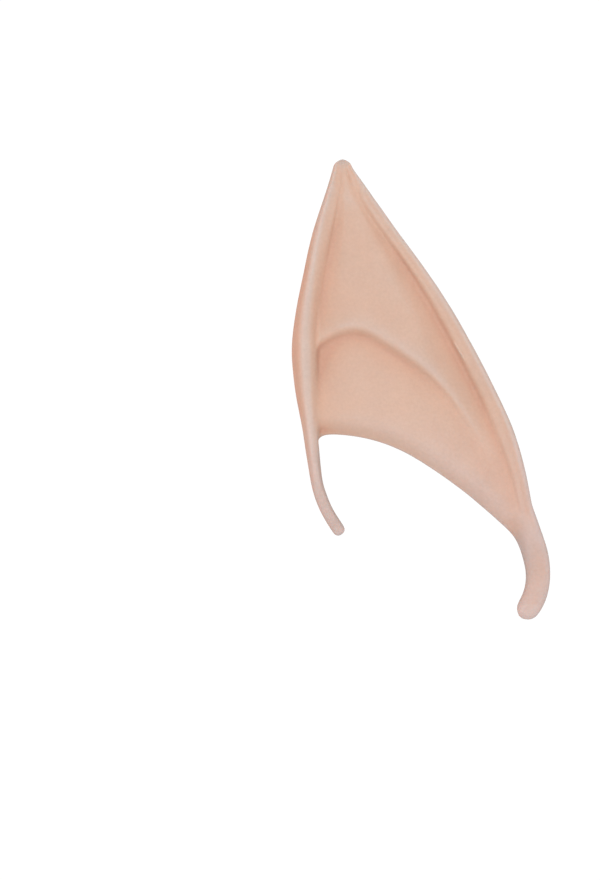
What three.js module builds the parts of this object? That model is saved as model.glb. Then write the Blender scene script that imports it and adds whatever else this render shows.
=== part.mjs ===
// Soft latex elf ear tip: one hollow, pointed casting that slips over the top of an ear, with a thin hook
// that lies in front of the ear and a broader hook for its lobe. It lies on its plain back.
// Millimetres: +X from the head-side rim to the outer rim, +Y towards the tip, +Z out of the dished front.
import * as THREE from "three";

// Driving sizes
const SHELL_LENGTH = 83; // from the tip down to the root of the lobe hook
const EAR_WIDTH = 59; // from the head-side bulge to the outside of the lobe hook
const SHELL_DEPTH = 16; // from the plain back to the top of the head-side rim
const WALL = 1.3; // thickness of the latex
const TIP_ROUNDING = 2; // height of the rounded cap at the tip
const SOLID_TIP = 6.5; // latex left solid above the pocket
const POCKET_ROUNDING = 7; // height over which the pocket's blind end rounds off
const RIM_BEAD = 3.2; // width of the head-side rim's rounded top
const RIM_ROLL = 0.5; // how far the bead's two edges drop below its top
const LIP_WIDTH = 2.2; // width of the outer rim's nearly level top
const LIP_ROLL = 0.3; // how far that top drops at its inner edge
const LIP_ROUND = 0.9; // how far its rounded outer edge drops to the side
const SHOULDER = 4.2; // how far the back's rounded edges stand in from the sides
const SHOULDER_RISE = 1.76; // how far they stand up from the back
const FOLD_RISE = 0.9; // crest of the curved fold above the panel
const FOLD_DROP = 1.0; // hollow under the fold below the panel
const FOLD_FLANK = 0.92; // half the width of the flank between crest and hollow
const FOLD_BACKING = 0.35; // extra latex behind that flank
const FOLD_RUNOUT = 5.5; // how far up the panel the crest fades out
const HOLLOW_RUNOUT = 7; // how far down the panel the hollow fades out
const EDGE_TURN = 1.8; // how far the front panel's free edge turns down
const EDGE_TURN_WIDTH = 4; // width of the turned-down edge
const CORNER_FILLET = 1.9; // radius where the free edge meets the thin hook
const THIN_HOOK_DROP = 22; // from the thin hook's root to its end
const THIN_HOOK_WIDTH = 2.85;
const THIN_HOOK_DEPTH = 3.7;
const LOBE_HOOK_DROP = 24.1; // from the lobe hook's root to its end
const LOBE_HOOK_WIDTH = 5.6;
const LOBE_HOOK_DEPTH = 3.9;
const LOBE_HOOK_LEAN = 0.9; // how far its outer side stands above its middle, and its inner side below

// Outline of the shell from the front. down is a share of SHELL_LENGTH, the rest are shares of EAR_WIDTH
// counted from the middle. The last rows run on below the free edge, which trims them.
const PLAN = {
  columns: ["down", "headSide", "headCrest", "headGroove", "outerGroove", "outerSide"],
  rows: [
    [0.024, -0.3405, -0.327, -0.309, -0.292, -0.267],
    [0.085, -0.366, -0.353, -0.312, -0.262, -0.204],
    [0.196, -0.418, -0.393, -0.342, -0.161, -0.094],
    [0.306, -0.453, -0.42, -0.375, -0.052, 0.02],
    [0.416, -0.485, -0.441, -0.397, 0.041, 0.121],
    [0.526, -0.502, -0.446, -0.401, 0.12, 0.207],
    [0.637, -0.489, -0.438, -0.404, 0.202, 0.287],
    [0.747, -0.459, -0.428, -0.398, 0.271, 0.357],
    [0.857, -0.437, -0.418, -0.388, 0.333, 0.403],
    [0.967, -0.422, -0.399, -0.376, 0.374, 0.436],
    [1.05, -0.411, -0.39, -0.368, 0.407, 0.475],
  ],
};

// Heights along the same sections, as shares of SHELL_DEPTH
const HEIGHTS = {
  columns: ["down", "headCrest", "headGroove", "panel", "outerGroove", "outerCrest", "back"],
  rows: [
    [0.024, 0.57, 0.557, 0.563, 0.556, 0.568, 0.335],
    [0.085, 0.62, 0.57, 0.58, 0.56, 0.605, 0.28],
    [0.196, 0.7, 0.61, 0.64, 0.585, 0.65, 0.17],
    [0.306, 0.785, 0.68, 0.725, 0.62, 0.71, 0.075],
    [0.416, 0.87, 0.755, 0.8, 0.67, 0.77, 0.018],
    [0.526, 0.95, 0.825, 0.865, 0.715, 0.825, 0],
    [0.637, 0.99, 0.9, 0.91, 0.745, 0.85, 0],
    [0.747, 1, 0.925, 0.925, 0.755, 0.835, 0],
    [0.857, 0.98, 0.91, 0.9, 0.73, 0.79, 0],
    [0.967, 0.96, 0.89, 0.84, 0.68, 0.71, 0],
    [1.05, 0.94, 0.87, 0.79, 0.64, 0.65, 0],
  ],
};

// Front panel's free edge: share of EAR_WIDTH across, share of SHELL_LENGTH down
const FREE_EDGE = {
  columns: ["across", "down"],
  rows: [
    [-0.415, 0.755],
    [-0.359, 0.753],
    [-0.297, 0.755],
    [-0.235, 0.761],
    [-0.173, 0.771],
    [-0.111, 0.787],
    [-0.048, 0.807],
    [0.014, 0.835],
    [0.076, 0.864],
    [0.138, 0.895],
    [0.2, 0.93],
    [0.262, 0.968],
    [0.324, 1.009],
  ],
};

// Middle of the curved fold's flank across the panel, in the same shares; bite is how much of the fold shows
const FOLD_LINE = {
  columns: ["across", "down", "bite"],
  rows: [
    [-0.407, 0.524, 0.9],
    [-0.372, 0.507, 1],
    [-0.333, 0.489, 1],
    [-0.295, 0.48, 1],
    [-0.256, 0.477, 1],
    [-0.217, 0.482, 1],
    [-0.112, 0.526, 1],
    [0, 0.582, 0.95],
    [0.085, 0.637, 0.8],
    [0.143, 0.689, 0.7],
    [0.182, 0.733, 0.55],
    [0.221, 0.774, 0.4],
    [0.275, 0.824, 0.2],
    [0.326, 0.863, 0],
  ],
};

// Lines that run from the tip to the mouth, once round a section. across and up place a line between two
// of the section's named places, as a share of the way from the first to the second. pocket places the
// same line on the pocket's wall: at a share along the head-side or outer bend, or off the outside by
// shares of WALL. cells is how many faces follow each line; fold and mouth are the shares of SHELL_LENGTH
// where the fold's row and the mouth's row cross it; the front panel's lines have none and end on FREE_EDGE.
const LINES = [
  {
    name: "headShoulder", cells: 3, fold: 0.524, mouth: 0.772,
    across: ["headSide", "backLeft", 0.4], up: ["back", "shoulder", 1.25],
    pocket: { right: 0.35, up: 0.95 },
  },
  {
    name: "headSide", cells: 3, fold: 0.526, mouth: 0.772,
    across: ["headSide"], up: ["headSide"],
    pocket: { bend: "head", share: 0 },
  },
  {
    name: "headBeadOut", cells: 2, fold: 0.526, mouth: 0.772,
    across: ["beadOut"], up: ["beadEdge"],
    pocket: { bend: "head", share: 0.35 },
  },
  {
    name: "headCrest", cells: 2, fold: 0.526, mouth: 0.772,
    across: ["headCrest"], up: ["headCrest"],
    pocket: { bend: "head", share: 0.6 },
  },
  {
    name: "headBeadIn", cells: 2, fold: 0.526, mouth: 0.772,
    across: ["beadIn"], up: ["beadEdge"],
    pocket: { bend: "head", share: 0.8 },
  },
  {
    name: "headFoot", cells: 3,
    across: ["beadIn", "headGroove", 0.7], up: ["headCrest", "headGroove", 0.62],
    pocket: { bend: "head", share: 1 },
  },
  {
    name: "headGroove", cells: 5,
    across: ["headGroove", "outerGroove", 0.03], up: ["headGroove"],
    pocket: { right: 0, up: -1 },
  },
  {
    name: "panelA", cells: 6,
    across: ["headGroove", "outerGroove", 0.25], up: ["headGroove", "panel", 0.85],
    pocket: { right: 0, up: -1 },
  },
  {
    name: "panelB", cells: 6,
    across: ["headGroove", "outerGroove", 0.5], up: ["panel"],
    pocket: { right: 0, up: -1 },
  },
  {
    name: "panelC", cells: 4,
    across: ["headGroove", "outerGroove", 0.79], up: ["outerGroove", "panel", 0.82],
    pocket: { right: 0, up: -1 },
  },
  {
    name: "hookInner", cells: 2,
    across: ["headGroove", "outerGroove", 0.93], up: ["outerGroove", "panel", 0.26],
    pocket: { right: 0, up: -1 },
  },
  {
    name: "outerGroove", cells: 2, fold: 0.84, mouth: 0.99,
    across: ["outerGroove"], up: ["outerGroove", "outerCrest", 0.1],
    pocket: { bend: "outer", share: 0 },
  },
  {
    name: "outerFlank", cells: 2, fold: 0.825, mouth: 0.975,
    across: ["outerGroove", "lipIn", 0.47], up: ["outerGroove", "outerCrest", 0.64],
    pocket: { bend: "outer", share: 0.35 },
  },
  {
    name: "outerLip", cells: 2, fold: 0.815, mouth: 0.968,
    across: ["lipIn"], up: ["lipEdge"],
    pocket: { bend: "outer", share: 0.6 },
  },
  {
    name: "outerCrest", cells: 2, fold: 0.805, mouth: 0.96,
    across: ["lipIn", "outerSide", 0.55], up: ["outerCrest"],
    pocket: { bend: "outer", share: 0.8 },
  },
  {
    name: "outerSide", cells: 3, fold: 0.795, mouth: 0.952,
    across: ["outerSide"], up: ["lipSide"],
    pocket: { bend: "outer", share: 1 },
  },
  {
    name: "outerShoulder", cells: 2, fold: 0.76, mouth: 0.935,
    across: ["outerSide", "backRight", 0.75], up: ["back", "shoulder", 1.5],
    pocket: { right: -0.55, up: 0.9 },
  },
  {
    name: "outerBack", cells: 3, fold: 0.71, mouth: 0.875,
    across: ["outerSide", "backRight", 1.45], up: ["back", "shoulder", 0.12],
    pocket: { right: 0, up: 1 },
  },
  {
    name: "backC", cells: 3, fold: 0.64, mouth: 0.805,
    across: ["backLeft", "backRight", 0.75], up: ["back"],
    pocket: { right: 0, up: 1 },
  },
  {
    name: "backB", cells: 3, fold: 0.57, mouth: 0.75,
    across: ["backLeft", "backRight", 0.5], up: ["back"],
    pocket: { right: 0, up: 1 },
  },
  {
    name: "backA", cells: 3, fold: 0.53, mouth: 0.727,
    across: ["backLeft", "backRight", 0.25], up: ["back"],
    pocket: { right: 0, up: 1 },
  },
  {
    name: "headBack", cells: 2, fold: 0.525, mouth: 0.742,
    across: ["headSide", "backLeft", 1.3], up: ["back", "shoulder", 0.12],
    pocket: { right: 0, up: 1 },
  },
];

// Bends of the pocket's wall under the two rims, which are filled as a cast rim is. Each point of a bend
// is a named line's place across and a named height, moved by shares of WALL.
const BENDS = {
  head: [
    { across: "headSide", right: 1, height: "headSide", up: 0 },
    { across: "headSide", right: 1.5, height: "headGroove", up: -0.95 },
    { across: "headFoot", right: -0.15, height: "headGroove", up: -1 },
  ],
  outer: [
    { across: "outerGroove", right: -0.2, height: "outerGroove", up: -1 },
    { across: "outerSide", right: -1.5, height: "outerCrest", up: -1.7 },
    { across: "outerSide", right: -1.1, height: "pocketSide", up: -0.8 },
  ],
};

// Centre line and section of each hook. down and across are shares of the hook's drop, height is a share of
// SHELL_DEPTH, width and depth are shares of the hook's own section, lean is a share of the hook's lean.
const HOOK_COLUMNS = ["down", "across", "height", "width", "depth", "lean"];
const THIN_PATH = [
  [0.264, 0.034, 0.8, 0.92, 1.25, 0],
  [0.524, 0.08, 0.68, 0.98, 1.05, 0],
  [0.76, 0.171, 0.5, 1, 1, 0],
  [0.9, 0.256, 0.37, 1.04, 0.95, 0],
  [1, 0.322, 0.3, 1.06, 0.95, 0],
];
const LOBE_PATH = [
  [0.2, 0.08, 0.51, 1.02, 1.5, 1],
  [0.38, 0.144, 0.4, 1.06, 1.15, 0.9],
  [0.55, 0.177, 0.31, 1, 1, 0.7],
  [0.7, 0.173, 0.25, 0.99, 1, 0.5],
  [0.86, 0.124, 0.185, 0.98, 1.05, 0.1],
  [1, 0.022, 0.17, 0.95, 1.05, 0],
];

// Finer proportions of the section
const SHOULDER_SHARE = 0.2; // most of the shell's width that one shoulder takes
const SHOULDER_TOP = 0.25; // most of the way from the back up to the panel that it takes
const HEAD_SIDE_HEIGHT = 0.48; // widest place of the head side, as a share of the way up to its crest
const POCKET_SIDE_HEIGHT = 0.78; // where the pocket meets the outer side, as the same share of the outer rim
const FILLET_START = 0.18; // how far the corner's fillet reaches past the groove, as a share of its radius

// Rows and columns of the net
const EVEN_REACH = 0.12; // share of SHELL_LENGTH over which even columns move to the section's lines
const CROWDING = 0.62; // how much closer the rows stand near the tip, the fold and the mouth
const OVAL_SQUARENESS = 0.68; // power of the oval's sine and cosine; below 1 its top is flattened
const END_PUSH = 0.2; // roundness of the small patch that closes a hook's end
const TIP_TAPER = 1.35; // power of the cap's sine; above 1 the cap is more pointed than a ball
const CAP_RINGS = 4;
const FOLD_ROWS = 21;
const MOUTH_ROWS = 15;
const POCKET_FOLD_ROWS = 14;
const POCKET_MOUTH_ROWS = 10;
const HOOK_ROWS = 15;
const HOOK_END_ROWS = 3;
const EASE_PASSES = 3; // passes that round the corners of the free boundary
const EASE_ROWS = 8; // rows of a hook over which that rounding fades out
const EASE_PACE = 0.4; // share of the way to the middle of its neighbours that a pass moves a point
const EDGE_RINGS = 2;
const RIM_FADE_COLUMNS = 2; // columns over which the panel's forms fade in beside the head-side rim
const SLOPE_STEP = 0.01; // share of EAR_WIDTH over which a line's slope is taken
const MEET_STEPS = 12; // steps taken to find where a column meets a line
const MEET_PACE = 0.8; // share of the remaining way that each step goes
const POCKET_START = 0.015; // share of POCKET_ROUNDING at which the pocket's first row stands
const HOOK_CROWDING = 1.25; // how much closer a hook's rows stand at its root
const HOOK_END_REST = 0.6; // share of a row that is left to the patch that closes a hook's end

const smooth = THREE.MathUtils.smoothstep;
const mix = THREE.MathUtils.lerp;

// A named column of a table as a smooth curve over its first column, straight beyond both ends
function columnCurve(table, name) {
  const column = table.columns.indexOf(name);
  const places = table.rows.map((row) => row[0]);
  const values = table.rows.map((row) => row[column]);
  const last = places.length - 1;
  const slopes = values.map((value, i) => {
    const before = Math.max(i - 1, 0);
    const after = Math.min(i + 1, last);
    return (values[after] - values[before]) / (places[after] - places[before]);
  });
  return (place) => {
    if (place <= places[0]) return values[0] + slopes[0] * (place - places[0]);
    if (place >= places[last]) return values[last] + slopes[last] * (place - places[last]);
    const i = places.findIndex((next) => next > place) - 1;
    const span = places[i + 1] - places[i];
    const t = (place - places[i]) / span;
    const rise = t * t * (3 - 2 * t);
    const lead = t * (1 - t) * (1 - t) * slopes[i];
    const trail = t * t * (1 - t) * slopes[i + 1];
    return mix(values[i], values[i + 1], rise) + span * (lead - trail);
  };
}

function curvesOf(table) {
  return Object.fromEntries(table.columns.slice(1).map((name) => [name, columnCurve(table, name)]));
}

const plan = curvesOf(PLAN);
const heights = curvesOf(HEIGHTS);
const freeEdge = curvesOf(FREE_EDGE);
const foldLine = curvesOf(FOLD_LINE);

// Named places of the section at a share down the shell: how far across, and how high
function sectionPlaces(down) {
  const x = (name) => plan[name](down) * EAR_WIDTH;
  const z = (name) => heights[name](down) * SHELL_DEPTH;
  const width = x("outerSide") - x("headSide");
  const shoulder = Math.min(SHOULDER, width * SHOULDER_SHARE);
  const shoulderTop = (z("panel") - z("back")) * SHOULDER_TOP;
  const shoulderRise = Math.min((SHOULDER_RISE * shoulder) / SHOULDER, shoulderTop);
  const beadOut = Math.min(RIM_BEAD, x("headCrest") - x("headSide")) / 2;
  const beadIn = Math.min(RIM_BEAD, x("headGroove") - x("headCrest")) / 2;
  const lip = Math.min(LIP_WIDTH, (x("outerSide") - x("outerGroove")) / 2);
  const beadEdge = (RIM_ROLL * beadIn * 2) / RIM_BEAD;
  const across = {
    headSide: x("headSide"),
    backLeft: x("headSide") + shoulder,
    beadOut: x("headCrest") - beadOut,
    headCrest: x("headCrest"),
    beadIn: x("headCrest") + beadIn,
    headGroove: x("headGroove"),
    outerGroove: x("outerGroove"),
    lipIn: x("outerSide") - lip,
    outerSide: x("outerSide"),
    backRight: x("outerSide") - shoulder,
  };
  const up = {
    back: z("back"),
    shoulder: z("back") + shoulderRise,
    beadEdge: z("headCrest") - beadEdge,
    headCrest: z("headCrest"),
    headSide: mix(z("back"), z("headCrest"), HEAD_SIDE_HEIGHT),
    headGroove: z("headGroove"),
    panel: z("panel"),
    outerGroove: z("outerGroove"),
    pocketSide: mix(z("back"), z("outerCrest"), POCKET_SIDE_HEIGHT),
    lipEdge: z("outerCrest") - (LIP_ROLL * lip) / LIP_WIDTH,
    outerCrest: z("outerCrest"),
    lipSide: z("outerCrest") - (LIP_ROUND * lip) / LIP_WIDTH,
  };
  return { across, up };
}

const between = (places, [from, to = from, share = 0]) => mix(places[from], places[to], share);

// Points that the outside of the section passes through, by the names of LINES
function outerSection({ across, up }) {
  const spotOf = (line) => [between(across, line.across), between(up, line.up)];
  return Object.fromEntries(LINES.map((line) => [line.name, spotOf(line)]));
}

// The same for the pocket's wall
function innerSection(places) {
  const out = outerSection(places);
  const bends = Object.fromEntries(Object.entries(BENDS).map(([name, bend]) => {
    const points = bend.map(({ across, right, height, up }) =>
      new THREE.Vector2(out[across][0] + right * WALL, places.up[height] + up * WALL),
    );
    return [name, new THREE.QuadraticBezierCurve(...points)];
  }));
  return Object.fromEntries(LINES.map(({ name, pocket }) => {
    const [x, z] = out[name];
    const spot = pocket.bend
      ? bends[pocket.bend].getPoint(pocket.share).toArray()
      : [x + pocket.right * WALL, z + pocket.up * WALL];
    return [name, spot];
  }));
}

// Columns of the net: each is a place along the closed spline through the section's points. Near the tip,
// where those points crowd together, the columns are spaced evenly instead.
const COLUMNS = LINES.flatMap((line, i) =>
  Array.from({ length: line.cells }, (_, k) => i + k / line.cells),
);
const columnOf = (name) => COLUMNS.indexOf(LINES.findIndex((line) => line.name === name));
const THIN_HOOK_COLUMNS = [columnOf("headShoulder"), columnOf("headFoot")];
const LOBE_HOOK_COLUMNS = [columnOf("hookInner"), columnOf("outerShoulder")];
const FRONT_COLUMNS = [columnOf("headFoot"), columnOf("outerGroove")];

// Share down the shell to Y, counted from the top of the section tables
const toY = (down) => -down * SHELL_LENGTH;

// Distance of a place above a line drawn across the panel, square to that line
function heightOver(downAt, across, down) {
  const run = 2 * SLOPE_STEP * EAR_WIDTH;
  const rise = (downAt(across + SLOPE_STEP) - downAt(across - SLOPE_STEP)) * SHELL_LENGTH;
  return ((downAt(across) - down) * SHELL_LENGTH * run) / Math.hypot(run, rise);
}

// How far the fold lifts or lowers the panel at a place on it
function foldLift(inside, across, down) {
  const above = heightOver(foldLine.down, across, down);
  const bite = THREE.MathUtils.clamp(foldLine.bite(across), 0, 1);
  const reach = above > 0 ? FOLD_RUNOUT : HOLLOW_RUNOUT;
  const height = above > 0 ? FOLD_RISE : FOLD_DROP;
  const lift = height * Math.tanh(above / FOLD_FLANK) * Math.exp(-((above / reach) ** 2));
  const backing = inside ? FOLD_BACKING * Math.exp(-((above / (2 * FOLD_FLANK)) ** 2)) : 0;
  return bite * (lift - backing);
}

function sectionPoint(inside, column, down) {
  const places = sectionPlaces(down);
  const section = inside ? innerSection(places) : outerSection(places);
  const start = inside ? SOLID_TIP / SHELL_LENGTH : PLAN.rows[0][0];
  const points = LINES.map(({ name }) => new THREE.Vector3(section[name][0], section[name][1], 0));
  const spline = new THREE.CatmullRomCurve3(points, true, "centripetal");
  const even = 1 - smooth(down, start, start + EVEN_REACH);
  const place = mix(COLUMNS[column] / LINES.length, spline.getUtoTmapping(column / COLUMNS.length), even);
  const spot = spline.getPoint(place);
  return new THREE.Vector3(spot.x, toY(down), spot.y);
}

const onFront = (column) => column > FRONT_COLUMNS[0] && column < FRONT_COLUMNS[1];

// One point of the shell's outside or of its pocket, before the tip's cap
function skinPoint(inside, column, down) {
  const spot = sectionPoint(inside, column, down);
  const floor = heights.back(down) * SHELL_DEPTH + (inside ? WALL : 0);
  spot.z = Math.max(spot.z, floor);
  if (onFront(column)) {
    const across = spot.x / EAR_WIDTH;
    const nearRim = smooth(column, FRONT_COLUMNS[0], FRONT_COLUMNS[0] + RIM_FADE_COLUMNS);
    const edge = THREE.MathUtils.clamp(heightOver(freeEdge.down, across, down) / EDGE_TURN_WIDTH, 0, 1);
    spot.z += (foldLift(inside, across, down) - EDGE_TURN * (1 - edge) ** 2) * nearRim;
  }
  return spot;
}

// The free edge with its fillet into the thin hook
function edgeDown(across) {
  const corner = plan.headGroove(freeEdge.down(across)) - (FILLET_START * CORNER_FILLET) / EAR_WIDTH;
  const inside = THREE.MathUtils.clamp((across - corner) * EAR_WIDTH, 0, CORNER_FILLET);
  const fillet = CORNER_FILLET - Math.sqrt(CORNER_FILLET ** 2 - (CORNER_FILLET - inside) ** 2);
  return freeEdge.down(across) + fillet / SHELL_LENGTH;
}

// Share down at which a column meets a line drawn across the panel
function meet(inside, column, downAt, start) {
  let down = start;
  for (let step = 0; step < MEET_STEPS; step += 1) {
    down = mix(down, downAt(sectionPoint(inside, column, down).x / EAR_WIDTH), MEET_PACE);
  }
  return down;
}

// Shares down of the fold's row and the mouth's row on every column
function rowEnds(row, downAt, inside) {
  const stated = LINES.map((line, i) => [i, line[row]]).filter(([, down]) => down !== undefined);
  const closing = [LINES.length, stated[0][1]];
  const curve = columnCurve({ columns: ["at", "down"], rows: [...stated, closing] }, "down");
  const [first] = FRONT_COLUMNS;
  const hookRoot = LOBE_HOOK_COLUMNS[0];
  return COLUMNS.map((at, column) =>
    column >= first && column <= hookRoot ? meet(inside, column, downAt, curve(at)) : curve(at),
  );
}

// Rows from the net's start to the fold and on to the mouth, closer together near all three
function rowShares(foldRows, mouthRows) {
  const crowd = (t) => t - (CROWDING * Math.sin(t * Math.PI * 2)) / (Math.PI * 2);
  const toFold = Array.from({ length: foldRows }, (_, i) => crowd(i / foldRows));
  const toMouth = Array.from({ length: mouthRows + 1 }, (_, i) => 1 + crowd(i / mouthRows));
  return [...toFold, ...toMouth];
}

// Rows of points of the outside or the pocket, from the tip to the mouth
function skinRows(inside) {
  const start = inside ? SOLID_TIP / SHELL_LENGTH : PLAN.rows[0][0];
  const folds = rowEnds("fold", foldLine.down, inside);
  const mouths = rowEnds("mouth", edgeDown, inside);
  const shares = inside
    ? rowShares(POCKET_FOLD_ROWS, POCKET_MOUTH_ROWS)
    : rowShares(FOLD_ROWS, MOUTH_ROWS);
  return shares.map((share) =>
    COLUMNS.map((_, column) => {
      const down = share < 1
        ? mix(start, folds[column], share)
        : mix(folds[column], mouths[column], share - 1);
      return skinPoint(inside, column, down);
    }),
  );
}

const centreOf = (row) => row.reduce((sum, p) => sum.add(p), new THREE.Vector3()).divideScalar(row.length);

// The outside's first row shrinks over the tip as a rounded cap
function capRings(row) {
  const centre = centreOf(row);
  return Array.from({ length: CAP_RINGS }, (_, i) => {
    const angle = ((i + 1) / (CAP_RINGS + 1)) * Math.PI * 0.5;
    return row.map((point) => {
      const spot = new THREE.Vector3().lerpVectors(centre, point, Math.sin(angle) ** TIP_TAPER);
      spot.y += Math.cos(angle) * TIP_ROUNDING;
      return spot;
    });
  });
}

// The pocket's first rows shrink to a rounded blind end
function roundPocketEnd(rows) {
  const top = rows[0][0].y;
  return rows.map((row) => {
    const centre = centreOf(row);
    return row.map((point) => {
      const depth = THREE.MathUtils.clamp((top - point.y) / POCKET_ROUNDING, POCKET_START, 1);
      return new THREE.Vector3().lerpVectors(centre, point, Math.sqrt(depth * (2 - depth)));
    });
  });
}

// A net of vertices and triangles that grows row by row
class Net {
  points = [];
  triangles = [];
  add(point) {
    return this.points.push(point) - 1;
  }
  row(points) {
    return points.map((point) => this.add(point));
  }
  stitch(upper, lower, closed, flip) {
    const count = closed ? upper.length : upper.length - 1;
    for (let i = 0; i < count; i += 1) {
      const next = (i + 1) % upper.length;
      const corners = [upper[i], lower[i], lower[next], upper[next]];
      if (flip) corners.reverse();
      const [a, b, c, d] = corners;
      this.triangles.push([a, b, c], [a, c, d]);
    }
  }
  fan(pole, ring, flip) {
    ring.forEach((id, i) => {
      const next = ring[(i + 1) % ring.length];
      this.triangles.push(flip ? [pole, next, id] : [pole, id, next]);
    });
  }
}

// Centre line of a hook from the middle of its root row
function hookPath(root, drop, rows) {
  const spots = rows.map(([down, across, height]) =>
    new THREE.Vector3(root.x + across * drop, root.y - down * drop, height * SHELL_DEPTH),
  );
  return new THREE.CatmullRomCurve3([root, ...spots], false, "centripetal");
}

function hookFrame(path, share) {
  const spot = path.getPointAt(share);
  const along = path.getTangentAt(share);
  const side = new THREE.Vector3(-along.y, along.x, 0).normalize();
  const up = new THREE.Vector3().crossVectors(along, side).normalize();
  return { spot, along, side, up };
}

const squared = (value) => Math.sign(value) * Math.abs(value) ** OVAL_SQUARENESS;

// One hook: the root row's shape carried along the path while it turns into a solid oval
function hookRows(hook, rootRow, inside) {
  const rootFrame = hookFrame(hook.path, 0);
  const length = hook.path.getLength();
  const round = hook.width / 2;
  const straight = 1 - round / length;
  const section = curvesOf({ columns: ["along", ...HOOK_COLUMNS.slice(3)], rows: hook.sections });
  const carried = rootRow.map((point) => {
    const offset = new THREE.Vector3().subVectors(point, rootFrame.spot);
    return [offset.dot(rootFrame.side), offset.dot(rootFrame.up), offset.dot(rootFrame.along)];
  });
  const rowCount = HOOK_ROWS + HOOK_END_ROWS;
  return Array.from({ length: rowCount }, (_, i) => {
    const row = i + 1;
    const turn = (Math.max(0, row - HOOK_ROWS) / (HOOK_END_ROWS + HOOK_END_REST)) * Math.PI * 0.5;
    const share = row <= HOOK_ROWS
      ? straight * (row / HOOK_ROWS) ** HOOK_CROWDING
      : straight + (1 - straight) * Math.sin(turn);
    const end = Math.cos(turn);
    const frame = hookFrame(hook.path, Math.min(share, 1));
    const gentle = smooth(share, 0, hook.blend);
    const halfWidth = (hook.width * section.width(share) * end) / 2;
    const halfDepth = (hook.depth * section.depth(share) * end) / 2;
    const lean = hook.lean * section.lean(share) * end;
    return carried.map(([side, up, along], j) => {
      const [from, to] = inside ? hook.innerAngles : hook.outerAngles;
      const place = j / (carried.length - 1);
      const turnBy = mix(hook.edgeBlends[0], hook.edgeBlends[1], place);
      const prompt = Math.sin(Math.min(share / turnBy, 1) * Math.PI * 0.5);
      const hurry = hook.hurry[0] * (1 - place) ** 2 + hook.hurry[1] * place ** 2;
      const blend = mix(gentle, prompt, hurry);
      const angle = THREE.MathUtils.degToRad(mix(from, to, place));
      const ovalSide = squared(Math.cos(angle));
      const ovalUp = squared(Math.sin(angle)) * halfDepth + ovalSide * lean;
      return frame.spot.clone()
        .addScaledVector(frame.side, mix(side, ovalSide * halfWidth, blend))
        .addScaledVector(frame.up, mix(up, ovalUp, blend))
        .addScaledVector(frame.along, along * (1 - blend));
    });
  });
}

// Rounded edge all round the sheet: rings of points pushed out from between its two skins
function edgeRings(outer, inner, push) {
  return Array.from({ length: EDGE_RINGS }, (_, k) => {
    const angle = ((k + 1) / (EDGE_RINGS + 1)) * Math.PI;
    return outer.map((point, i) => {
      const gap = point.distanceTo(inner[i]);
      const spot = new THREE.Vector3().lerpVectors(point, inner[i], (1 - Math.cos(angle)) / 2);
      return spot.addScaledVector(push[i], (Math.min(gap, WALL) * Math.sin(angle)) / 2);
    });
  });
}

function smoothedDirections(directions) {
  const count = directions.length;
  return directions.map((direction, i) =>
    direction.clone().multiplyScalar(2)
      .add(directions[(i + 1) % count])
      .add(directions[(i + count - 1) % count])
      .divideScalar(4),
  );
}

// rootHeight is a share of SHELL_DEPTH. The angles are the degrees round a hook's oval that its two skins
// cover. blend is the share of the hook's length by which the middle of its root has turned into the oval,
// edgeBlends the same for its two edges, and hurry how much those edges follow their own share.
const HOOKS = {
  thin: {
    width: THIN_HOOK_WIDTH,
    depth: THIN_HOOK_DEPTH,
    columns: THIN_HOOK_COLUMNS,
    rows: THIN_PATH,
    drop: THIN_HOOK_DROP,
    lean: 0,
    rootHeight: 0.82,
    outerAngles: [245, -25],
    innerAngles: [275, 305],
    blend: 0.6,
    edgeBlends: [0.6, 0.6],
    hurry: [1, 0],
  },
  lobe: {
    width: LOBE_HOOK_WIDTH,
    depth: LOBE_HOOK_DEPTH,
    columns: LOBE_HOOK_COLUMNS,
    rows: LOBE_PATH,
    drop: LOBE_HOOK_DROP,
    lean: LOBE_HOOK_LEAN,
    rootHeight: 0.58,
    outerAngles: [195, -80],
    innerAngles: [222, 255],
    blend: 0.62,
    edgeBlends: [0.4, 0.62],
    hurry: [1, 1],
  },
};

// One skin as rows of vertex numbers: the shell's rows, then each hook's
function buildSkin(net, inside) {
  const body = skinRows(inside);
  const rows = (inside ? roundPocketEnd(body) : [...capRings(body[0]), ...body]);
  const rings = rows.map((row) => net.row(row));
  const pole = net.add(inside
    ? centreOf(rows[0])
    : centreOf(rows[CAP_RINGS]).add(new THREE.Vector3(0, TIP_ROUNDING, 0)));
  net.fan(pole, rings[0], inside);
  rings.slice(1).forEach((ring, i) => net.stitch(rings[i], ring, true, inside));
  return { points: rows[rows.length - 1], ring: rings[rings.length - 1] };
}

function buildHook(net, hook, mouths, inside) {
  const [first, last] = hook.columns;
  const rootRow = mouths.points.slice(first, last + 1);
  const rows = hookRows(hook, rootRow, inside);
  const ids = [mouths.ring.slice(first, last + 1), ...rows.map((row) => net.row(row))];
  ids.slice(1).forEach((row, i) => net.stitch(ids[i], row, false, inside));
  return ids;
}

// The path starts at the middle of the root row's outside, so both skins share it
function setHookPath(hook, mouths) {
  const [first, last] = hook.columns;
  const corners = [mouths.points[first], mouths.points[last]];
  const sides = mouths.points.slice(first, last + 1).map((point) => point.x);
  const root = new THREE.Vector3(
    (Math.min(...sides) + Math.max(...sides)) / 2,
    (corners[0].y + corners[1].y) / 2,
    hook.rootHeight * SHELL_DEPTH,
  );
  const path = hookPath(root, hook.drop, hook.rows);
  const sections = hook.rows.map((row) => [row[0], ...row.slice(3)]);
  return { ...hook, path, sections };
}

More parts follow.
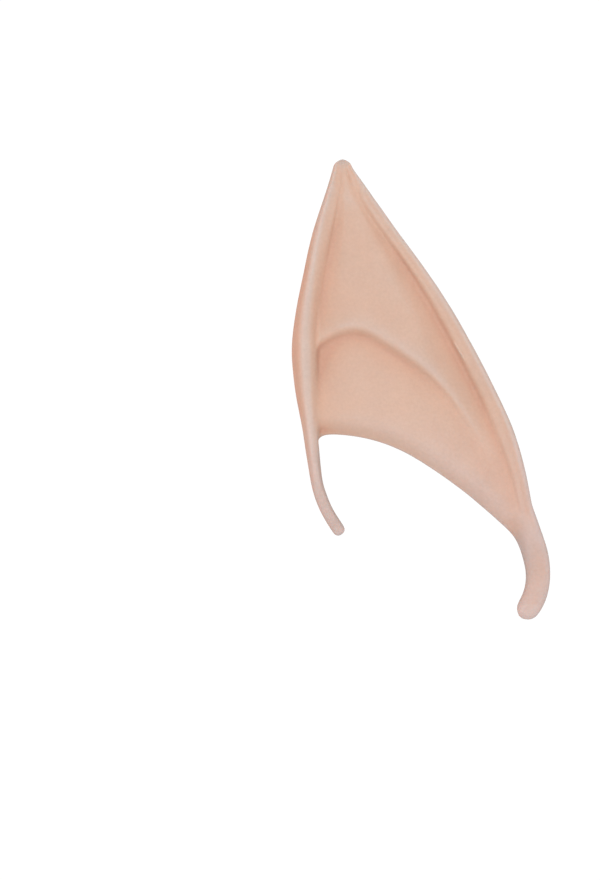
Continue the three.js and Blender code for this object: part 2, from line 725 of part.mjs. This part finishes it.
// One hook's free boundary: down its first side, across its end and back up its other side
function hookBoundary(rows, hook, net) {
  const away = (id, from) => new THREE.Vector3().subVectors(net.points[id], net.points[from]).normalize();
  const last = rows.length - 1;
  const wide = rows[0].length - 1;
  const endPush = hook.path.getTangentAt(1).multiplyScalar(END_PUSH);
  const easeAt = (i) => 1 - smooth(i, EASE_ROWS / 2, EASE_ROWS);
  const firstSide = rows.map((row, i) => [row[0], away(row[0], row[1]), easeAt(i)]);
  const end = rows[last].slice(1, wide).map((id) => [id, endPush, 0]);
  const otherSide = rows.map((row, i) => [row[wide], away(row[wide], row[wide - 1]), easeAt(i)]).reverse();
  return [...firstSide, ...end, ...otherSide];
}

// Vertex numbers all round the sheet's free boundary, with the way out of the sheet and the easing at each
function boundary(mouths, [thin, lobe], [thinHook, lobeHook], net) {
  const down = new THREE.Vector3(0, -1, 0);
  const straight = (ids) => ids.map((id) => [id, down, 1]);
  const walk = [
    ...straight(mouths.ring.slice(FRONT_COLUMNS[0], LOBE_HOOK_COLUMNS[0])),
    ...hookBoundary(lobe, lobeHook, net),
    ...straight(mouths.ring.slice(LOBE_HOOK_COLUMNS[1] + 1)),
    ...hookBoundary(thin, thinHook, net).slice(0, -1),
  ];
  const [ids, push, ease] = [0, 1, 2].map((part) => walk.map((step) => step[part]));
  return { ids, push, ease };
}

// Rounds the corners of a closed boundary by moving each of its points towards the middle of its neighbours
function easeCorners({ ids, ease }, net) {
  for (let pass = 0; pass < EASE_PASSES; pass += 1) {
    const middles = ids.map((_, i) => {
      const before = net.points[ids.at(i - 1)];
      const after = net.points[ids[(i + 1) % ids.length]];
      return new THREE.Vector3().lerpVectors(before, after, 0.5);
    });
    ids.forEach((id, i) => net.points[id].lerp(middles[i], EASE_PACE * ease[i]));
  }
}

function earShell() {
  const net = new Net();
  const outside = buildSkin(net, false);
  const pocket = buildSkin(net, true);
  const hooks = Object.values(HOOKS).map((hook) => setHookPath(hook, outside));
  const outerHooks = hooks.map((hook) => buildHook(net, hook, outside, false));
  const innerHooks = hooks.map((hook) => buildHook(net, hook, pocket, true));
  const outer = boundary(outside, outerHooks, hooks, net);
  const inner = boundary(pocket, innerHooks, hooks, net);
  easeCorners(outer, net);
  easeCorners(inner, net);
  const push = smoothedDirections(smoothedDirections(outer.push));
  const spots = (ids) => ids.map((id) => net.points[id]);
  const rings = edgeRings(spots(outer.ids), spots(inner.ids), push).map((row) => net.row(row));
  const bands = [outer.ids, ...rings, inner.ids];
  bands.slice(1).forEach((ring, i) => net.stitch(bands[i], ring, true, false));
  return net;
}

// The finished net as a geometry, its box centred on X and Y and standing on Z 0
function geometryOf(net) {
  const geometry = new THREE.BufferGeometry();
  const places = net.points.flatMap((point) => point.toArray());
  geometry.setAttribute("position", new THREE.Float32BufferAttribute(places, 3));
  geometry.setIndex(net.triangles.flat());
  geometry.computeBoundingBox();
  const { min, max } = geometry.boundingBox;
  geometry.translate(-(min.x + max.x) / 2, -(min.y + max.y) / 2, -min.z);
  geometry.computeVertexNormals();
  return geometry;
}

const latex = new THREE.MeshStandardMaterial({ color: 0xdcbaa8, roughness: 0.62, metalness: 0 });
const shell = new THREE.Mesh(geometryOf(earShell()), latex);
shell.name = "ear_tip_shell";

const elfEarTip = new THREE.Group();
elfEarTip.add(shell);

export default elfEarTip;
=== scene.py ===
import math

import bpy
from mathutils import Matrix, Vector
from mathutils.bvhtree import BVHTree
from mathutils.kdtree import KDTree


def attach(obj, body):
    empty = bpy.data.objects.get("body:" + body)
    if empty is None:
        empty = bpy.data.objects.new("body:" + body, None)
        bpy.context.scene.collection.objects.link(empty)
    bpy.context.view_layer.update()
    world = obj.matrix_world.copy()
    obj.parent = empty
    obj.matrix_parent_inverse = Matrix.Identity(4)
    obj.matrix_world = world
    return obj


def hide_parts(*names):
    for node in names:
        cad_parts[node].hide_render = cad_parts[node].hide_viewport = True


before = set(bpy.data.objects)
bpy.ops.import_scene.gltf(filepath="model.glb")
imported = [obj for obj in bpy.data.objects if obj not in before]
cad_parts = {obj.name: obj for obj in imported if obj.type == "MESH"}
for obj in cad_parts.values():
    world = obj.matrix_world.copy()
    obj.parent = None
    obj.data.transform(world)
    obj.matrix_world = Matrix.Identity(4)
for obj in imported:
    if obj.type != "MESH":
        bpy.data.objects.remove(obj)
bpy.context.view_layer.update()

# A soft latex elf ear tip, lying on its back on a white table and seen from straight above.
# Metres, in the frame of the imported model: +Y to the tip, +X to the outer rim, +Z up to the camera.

MM = 0.001
SHELL = "ear_tip_shell"
WHITE = (1.0, 1.0, 1.0)

# The photo's frame, and where the ear's box is centred in it
PHOTO_WIDTH = 600
EAR_CENTRE_PX = (421.0, 389.5)
PHOTO_CENTRE_PX = (299.5, 439.5)
MM_PER_PX = 0.22876
CAMERA_HEIGHT = 0.75
SHARP_HEIGHT = 9 * MM  # the height at which a photo pixel measures MM_PER_PX
SENSOR_WIDTH = 36.0
CLIP_START = 0.01

# Light and table
SOFTBOX_PLACE = (0.0, 0.05, 1.1)
SOFTBOX_SIZE = 1.2
SOFTBOX_POWER = 15.0
WARM_PLACE = (-0.25, 0.03, 0.012)
WARM_SIZE = 0.02
WARM_POWER = 0.2
WARM_COLOUR = (1.0, 0.32, 0.08)
SURROUND_STRENGTH = 1.2
TABLE_SIZE = 4.0
TABLE_COLOUR = (0.02, 0.02, 0.02, 1.0)
TABLE_GLOW = 1.0

# The casting's surface
MERGE_DISTANCE = 0.002 * MM
QUAD_REGULARITY = 1.5
SMOOTHING_LEVELS = 2
WOBBLE_SIZE = 9 * MM
WOBBLE_DEPTH = 0.10 * MM
HOOK_ROOT = Vector((19.9, -31.0)) * MM
HOOK_ROOT_REACH = 4.5 * MM
HOOK_ROOT_PASSES = 2
SEAM_TOP = Vector((7.3, 10.6)) * MM
SEAM_END = Vector((9.1, 7.6)) * MM
SEAM_REACH = 0.9 * MM
SEAM_CUTS = 2
SEAM_WIDTH = 0.3 * MM
SEAM_HEIGHT = 0.25 * MM
SEAM_PALENESS = 0.6
SEAM_LOWEST = 6 * MM

# What the latex's painted shading is made of: painted shade from hollows, grooves and the head side's
# turned-away flank, painted highlight on proud rims
PAINTED_SHADING = "painted_shading"
RAY_LIFT = 0.05 * MM
HOLLOW_RAYS = 96
HOLLOW_REACH = 20 * MM
RELIEF_REACH = 5 * MM
FLANK_START = 0.4
FLANK_LOW = -16 * MM
FLANK_HIGH = 40 * MM
FLANK_FADE = 12 * MM
FLAT_SHADING = 0.42
SHADE_PER_HOLLOW = 2.4
SHADE_PER_RELIEF = 0.6 / MM
SHADE_PER_FLANK = 1.1

# Colours of the painted shading, from the painted highlight on the proudest rim to the painted shade in the
# deepest groove
BRIGHTEST_PAINTED_LIGHT = -0.35
DARKEST_PAINTED_SHADE = 1.3
PAINTED_SHADING_COLOURS = (
    (BRIGHTEST_PAINTED_LIGHT, (0.346, 0.265, 0.230, 1.0)),
    (0.0, (0.322, 0.241, 0.204, 1.0)),
    (FLAT_SHADING, (0.338, 0.224, 0.171, 1.0)),
    (0.95, (0.341, 0.206, 0.148, 1.0)),
    (DARKEST_PAINTED_SHADE, (0.322, 0.178, 0.125, 1.0)),
)
PINK_START = -4 * MM
PINK_END = -28 * MM
PINK_BLUE = 1.06

# Patterns: sizes in waves per metre, strengths as shares of the colour
NOISE_LOW = 0.25
NOISE_HIGH = 0.75
CLOUD_SCALE = 120
CLOUD_STRENGTH = 0.03
SPECKLE_SCALE = 1500
SPECKLE_STRENGTH = 0.045
SHEEN_SCALE = 260
SHEEN_ROUGHNESS = (0.54, 0.66)
GRAIN_SCALE = 2600
GRAIN_STRENGTH = 0.35
GRAIN_DEPTH = 0.05 * MM


def make_active(piece):
    """Only this piece is selected, so that the next operator acts on it alone."""
    bpy.ops.object.select_all(action="DESELECT")
    piece.select_set(True)
    bpy.context.view_layer.objects.active = piece


def apply_modifier(piece, kind, **settings):
    """Adds one modifier with its settings and applies it to the mesh."""
    make_active(piece)
    modifier = piece.modifiers.new(kind.title(), kind)
    for name, value in settings.items():
        setattr(modifier, name, value)
    bpy.ops.object.modifier_apply(modifier=modifier.name)


def place_camera():
    """A long lens straight above, so that the ear lands on its own pixels of the photo."""
    offset_x = (PHOTO_CENTRE_PX[0] - EAR_CENTRE_PX[0]) * MM_PER_PX * MM
    offset_y = (EAR_CENTRE_PX[1] - PHOTO_CENTRE_PX[1]) * MM_PER_PX * MM
    bpy.ops.object.camera_add(location=(offset_x, offset_y, CAMERA_HEIGHT), rotation=(0, 0, 0))
    camera = bpy.context.object
    camera.name = "photo_camera"
    camera.data.sensor_fit = "HORIZONTAL"
    camera.data.sensor_width = SENSOR_WIDTH
    view_width = PHOTO_WIDTH * MM_PER_PX * MM
    camera.data.lens = SENSOR_WIDTH * (CAMERA_HEIGHT - SHARP_HEIGHT) / view_width
    camera.data.clip_start = CLIP_START
    bpy.context.scene.camera = camera


def area_light(name, place, size, power, colour):
    """A square light that faces the ear."""
    bpy.ops.object.light_add(type="AREA", location=place)
    light = bpy.context.object
    light.name = name
    light.data.shape = "SQUARE"
    light.data.size = size
    light.data.energy = power
    light.data.color = colour
    light.rotation_euler = (-Vector(place)).to_track_quat("-Z", "Y").to_euler()


def light_studio():
    """A wide softbox overhead, a low warm fill at the head side, and a white surround as in a light tent."""
    area_light("overhead_softbox", SOFTBOX_PLACE, SOFTBOX_SIZE, SOFTBOX_POWER, WHITE)
    area_light("warm_fill", WARM_PLACE, WARM_SIZE, WARM_POWER, WARM_COLOUR)
    world = bpy.context.scene.world or bpy.data.worlds.new("surround")
    bpy.context.scene.world = world
    world.use_nodes = True
    backdrop = world.node_tree.nodes["Background"]
    backdrop.inputs["Color"].default_value = (*WHITE, 1.0)
    backdrop.inputs["Strength"].default_value = SURROUND_STRENGTH
    bpy.context.scene.view_settings.view_transform = "Standard"


def lay_table():
    """A white light table, which shows no shadow."""
    bpy.ops.mesh.primitive_plane_add(size=TABLE_SIZE, location=(0, 0, 0))
    table = bpy.context.object
    table.name = "white_table"
    material = bpy.data.materials.new("white_table_top")
    material.use_nodes = True
    surface = material.node_tree.nodes["Principled BSDF"]
    surface.inputs["Base Color"].default_value = TABLE_COLOUR
    surface.inputs["Roughness"].default_value = 1.0
    surface.inputs["Specular IOR Level"].default_value = 0.0
    surface.inputs["Emission Color"].default_value = (*WHITE, 1.0)
    surface.inputs["Emission Strength"].default_value = TABLE_GLOW
    table.data.materials.append(material)


def even_directions(count):
    """Directions spread evenly over the upper half of a ball."""
    turn = math.pi * (3 - math.sqrt(5))
    for i in range(count):
        height = 1 - (i + 0.5) / count
        radius = math.sqrt(1 - height * height)
        yield Vector((radius * math.cos(i * turn), radius * math.sin(i * turn), height))


def hollow_at(vertex, surface, directions):
    """Share of the sky over a vertex that the piece itself closes off, less for what lies farther away."""
    turn = Vector((0, 0, 1)).rotation_difference(vertex.normal)
    start = vertex.co + vertex.normal * RAY_LIFT
    hits = (surface.ray_cast(start, turn @ direction, HOLLOW_REACH)[3] for direction in directions)
    return sum(1 - hit / HOLLOW_REACH for hit in hits if hit is not None) / len(directions)


def relief_at(vertex, mesh, centres):
    """How far the faces round a vertex stand above it: more than nothing in a groove, less on a rim."""
    total = 0.0
    weights = 0.0
    for centre, index, distance in centres.find_range(vertex.co, RELIEF_REACH):
        face = mesh.polygons[index]
        if face.normal.dot(vertex.normal) > 0:
            weight = face.area * (1 - distance / RELIEF_REACH)
            total += weight * (centre - vertex.co).dot(vertex.normal)
            weights += weight
    return total / weights


def flank_at(vertex):
    """How far a vertex faces away at the head side, faded out towards the thin hook and the tip, for painted
    shade on that side.
    """
    turned = max(-vertex.normal.x - FLANK_START, 0.0)
    room = min(vertex.co.y - FLANK_LOW, FLANK_HIGH - vertex.co.y)
    return turned * min(max(room / FLANK_FADE, 0.0), 1.0)


def paint_shading(piece):
    """Stores painted shading at each vertex: about 0 on a rim, which gets painted highlight, about 1 at the
    bottom of a groove, which gets painted shade.
    """
    mesh = piece.data
    surface = BVHTree.FromPolygons([v.co for v in mesh.vertices], [p.vertices for p in mesh.polygons])
    centres = KDTree(len(mesh.polygons))
    for face in mesh.polygons:
        centres.insert(face.center, face.index)
    centres.balance()
    directions = list(even_directions(HOLLOW_RAYS))
    painted_shading = mesh.attributes.new(PAINTED_SHADING, "FLOAT", "POINT")
    for vertex in mesh.vertices:
        hollow = hollow_at(vertex, surface, directions)
        relief = relief_at(vertex, mesh, centres)
        flank = flank_at(vertex)
        # Painted shade grows with how closed in and how sunken a vertex is and how far it turns away at the
        # head side; proud rims get painted highlight.
        painted_shading.data[vertex.index].value = (
            FLAT_SHADING + SHADE_PER_HOLLOW * hollow + SHADE_PER_RELIEF * relief + SHADE_PER_FLANK * flank
        )


def select_near(piece, distance_to, reach):
    """Goes into edit mode with only the vertices selected that lie within reach."""
    make_active(piece)
    bpy.ops.object.mode_set(mode="EDIT")
    bpy.ops.mesh.select_all(action="DESELECT")
    bpy.ops.object.mode_set(mode="OBJECT")
    for vertex in piece.data.vertices:
        vertex.select = distance_to(vertex.co) < reach
    bpy.ops.object.mode_set(mode="EDIT")


def ease_hook_root(ear):
    """Evens the skin where the lobe hook leaves the shell."""
    select_near(ear, lambda place: (place.xy - HOOK_ROOT).length, HOOK_ROOT_REACH)
    bpy.ops.mesh.vertices_smooth(factor=0.5, repeat=HOOK_ROOT_PASSES)
    bpy.ops.object.mode_set(mode="OBJECT")


def from_seam(place):
    """Distance from the casting seam, seen from above, and endless for all that isn't on the front."""
    if place.z <= SEAM_LOWEST:
        return math.inf
    along = SEAM_END - SEAM_TOP
    share = min(max((place.xy - SEAM_TOP).dot(along) / along.length_squared, 0.0), 1.0)
    return (place.xy - SEAM_TOP - along * share).length


def raise_seam(ear):
    """A short, low and slightly paler casting seam at the bottom of the outer groove."""
    select_near(ear, from_seam, SEAM_REACH)
    bpy.ops.mesh.subdivide(number_cuts=SEAM_CUTS)
    bpy.ops.object.mode_set(mode="OBJECT")
    painted_shading = ear.data.attributes[PAINTED_SHADING]
    for vertex in ear.data.vertices:
        share = math.exp(-((from_seam(vertex.co) / SEAM_WIDTH) ** 2))
        vertex.co.z += SEAM_HEIGHT * share
        painted_shading.data[vertex.index].value -= SEAM_PALENESS * share


def noise(nodes, links, coordinates, scale, detail, roughness=0.5):
    """Noise of the given scale in waves per metre."""
    node = nodes.new("ShaderNodeTexNoise")
    node.inputs["Scale"].default_value = scale
    node.inputs["Detail"].default_value = detail
    node.inputs["Roughness"].default_value = roughness
    links.new(coordinates, node.inputs["Vector"])
    return node.outputs["Fac"]


def spread(nodes, links, value, low, high):
    """The middle half of a noise value spread from low to high."""
    node = nodes.new("ShaderNodeMapRange")
    node.inputs["From Min"].default_value = NOISE_LOW
    node.inputs["From Max"].default_value = NOISE_HIGH
    node.inputs["To Min"].default_value = low
    node.inputs["To Max"].default_value = high
    links.new(value, node.inputs["Value"])
    return node.outputs["Result"]


def painted_shading_colour(nodes, links):
    """The latex's colour with the painted shade and painted highlight stored on the vertices."""
    mark = nodes.new("ShaderNodeAttribute")
    mark.attribute_name = PAINTED_SHADING
    depth = nodes.new("ShaderNodeMapRange")
    depth.inputs["From Min"].default_value = BRIGHTEST_PAINTED_LIGHT
    depth.inputs["From Max"].default_value = DARKEST_PAINTED_SHADE
    links.new(mark.outputs["Fac"], depth.inputs["Value"])
    ramp = nodes.new("ShaderNodeValToRGB")
    stops = ramp.color_ramp.elements
    while len(stops) < len(PAINTED_SHADING_COLOURS):
        stops.new(0.5)
    for stop, (painted_shading, colour) in zip(stops, PAINTED_SHADING_COLOURS):
        stop.position = (painted_shading - BRIGHTEST_PAINTED_LIGHT) / (DARKEST_PAINTED_SHADE - BRIGHTEST_PAINTED_LIGHT)
        stop.color = colour
    links.new(depth.outputs["Result"], ramp.inputs["Fac"])
    return ramp.outputs["Color"]


def pink_tint(nodes, links, coordinates):
    """A tint that leaves the upper part as it is and makes the lower part and the hooks slightly pinker."""
    place = nodes.new("ShaderNodeSeparateXYZ")
    links.new(coordinates, place.inputs["Vector"])
    blue = nodes.new("ShaderNodeMapRange")
    blue.inputs["From Min"].default_value = PINK_START
    blue.inputs["From Max"].default_value = PINK_END
    blue.inputs["To Min"].default_value = 1.0
    blue.inputs["To Max"].default_value = PINK_BLUE
    links.new(place.outputs["Y"], blue.inputs["Value"])
    tint = nodes.new("ShaderNodeCombineXYZ")
    tint.inputs["X"].default_value = 1.0
    tint.inputs["Y"].default_value = 1.0
    links.new(blue.outputs["Result"], tint.inputs["Z"])
    return tint.outputs["Vector"]


def mottling(nodes, links, coordinates):
    """Faint clouds and a fine speckle, as one factor near 1."""
    clouds = noise(nodes, links, coordinates, CLOUD_SCALE, detail=2)
    speckle = noise(nodes, links, coordinates, SPECKLE_SCALE, detail=2)
    mottle = nodes.new("ShaderNodeMath")
    mottle.operation = "MULTIPLY"
    links.new(spread(nodes, links, clouds, 1 - CLOUD_STRENGTH, 1 + CLOUD_STRENGTH), mottle.inputs[0])
    links.new(spread(nodes, links, speckle, 1 - SPECKLE_STRENGTH, 1 + SPECKLE_STRENGTH), mottle.inputs[1])
    return mottle.outputs["Value"]


def latex_colour(nodes, links, coordinates):
    """Painted shade in the grooves, darker and warmer, painted highlight on the rims, paler, slightly pinker
    lower down, and faintly mottled.
    """
    tinted = nodes.new("ShaderNodeVectorMath")
    tinted.operation = "MULTIPLY"
    links.new(painted_shading_colour(nodes, links), tinted.inputs[0])
    links.new(pink_tint(nodes, links, coordinates), tinted.inputs[1])
    shade = nodes.new("ShaderNodeVectorMath")
    shade.operation = "SCALE"
    links.new(tinted.outputs["Vector"], shade.inputs[0])
    links.new(mottling(nodes, links, coordinates), shade.inputs["Scale"])
    return shade.outputs["Vector"]


def latex_grain(nodes, links, coordinates):
    """The fine grain that the mould leaves on the latex."""
    grain = nodes.new("ShaderNodeBump")
    grain.inputs["Strength"].default_value = GRAIN_STRENGTH
    grain.inputs["Distance"].default_value = GRAIN_DEPTH
    links.new(noise(nodes, links, coordinates, GRAIN_SCALE, detail=3, roughness=0.6), grain.inputs["Height"])
    return grain.outputs["Normal"]


def latex_material():
    """Matte skin-toned latex with a little light under its surface."""
    material = bpy.data.materials.new("matte_skin_latex")
    material.use_nodes = True
    nodes = material.node_tree.nodes
    links = material.node_tree.links
    surface = nodes["Principled BSDF"]
    coordinates = nodes.new("ShaderNodeTexCoord").outputs["Object"]
    sheen = noise(nodes, links, coordinates, SHEEN_SCALE, detail=3)

    # The base colour carries painted shade in the grooves and painted highlight on the rims.
    links.new(latex_colour(nodes, links, coordinates), surface.inputs["Base Color"])
    links.new(spread(nodes, links, sheen, *SHEEN_ROUGHNESS), surface.inputs["Roughness"])
    links.new(latex_grain(nodes, links, coordinates), surface.inputs["Normal"])
    surface.inputs["Specular IOR Level"].default_value = 0.25
    surface.inputs["Subsurface Weight"].default_value = 0.22
    surface.inputs["Subsurface Radius"].default_value = (1.0, 0.42, 0.26)
    surface.inputs["Subsurface Scale"].default_value = 1.6 * MM
    return material


def copy_shell():
    """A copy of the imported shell, its loose triangles merged and paired into quads."""
    make_active(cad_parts[SHELL])
    bpy.ops.object.duplicate()
    ear = bpy.context.object
    ear.name = "latex_ear_tip"
    make_active(ear)
    bpy.ops.object.mode_set(mode="EDIT")
    bpy.ops.mesh.select_all(action="SELECT")
    bpy.ops.mesh.remove_doubles(threshold=MERGE_DISTANCE)
    bpy.ops.mesh.tris_convert_to_quads(
        face_threshold=math.pi, shape_threshold=math.pi, topology_influence=QUAD_REGULARITY
    )
    bpy.ops.object.mode_set(mode="OBJECT")
    return ear


def wobble_skin(ear):
    """The slight unevenness of a soft cast surface."""
    wobble = bpy.data.textures.new("cast_wobble", "CLOUDS")
    wobble.noise_scale = WOBBLE_SIZE
    wobble.noise_depth = 1
    apply_modifier(
        ear, "DISPLACE", texture=wobble, texture_coords="LOCAL", strength=WOBBLE_DEPTH, mid_level=0.5
    )


def cast_ear():
    """The latex ear tip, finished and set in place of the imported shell."""
    ear = copy_shell()
    ease_hook_root(ear)
    paint_shading(ear)
    apply_modifier(ear, "SUBSURF", levels=SMOOTHING_LEVELS, render_levels=SMOOTHING_LEVELS)
    wobble_skin(ear)
    raise_seam(ear)
    bpy.ops.object.shade_smooth()
    ear.data.materials.clear()
    ear.data.materials.append(latex_material())
    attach(ear, "root")
    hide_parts(SHELL)


place_camera()
light_studio()
lay_table()
cast_ear()
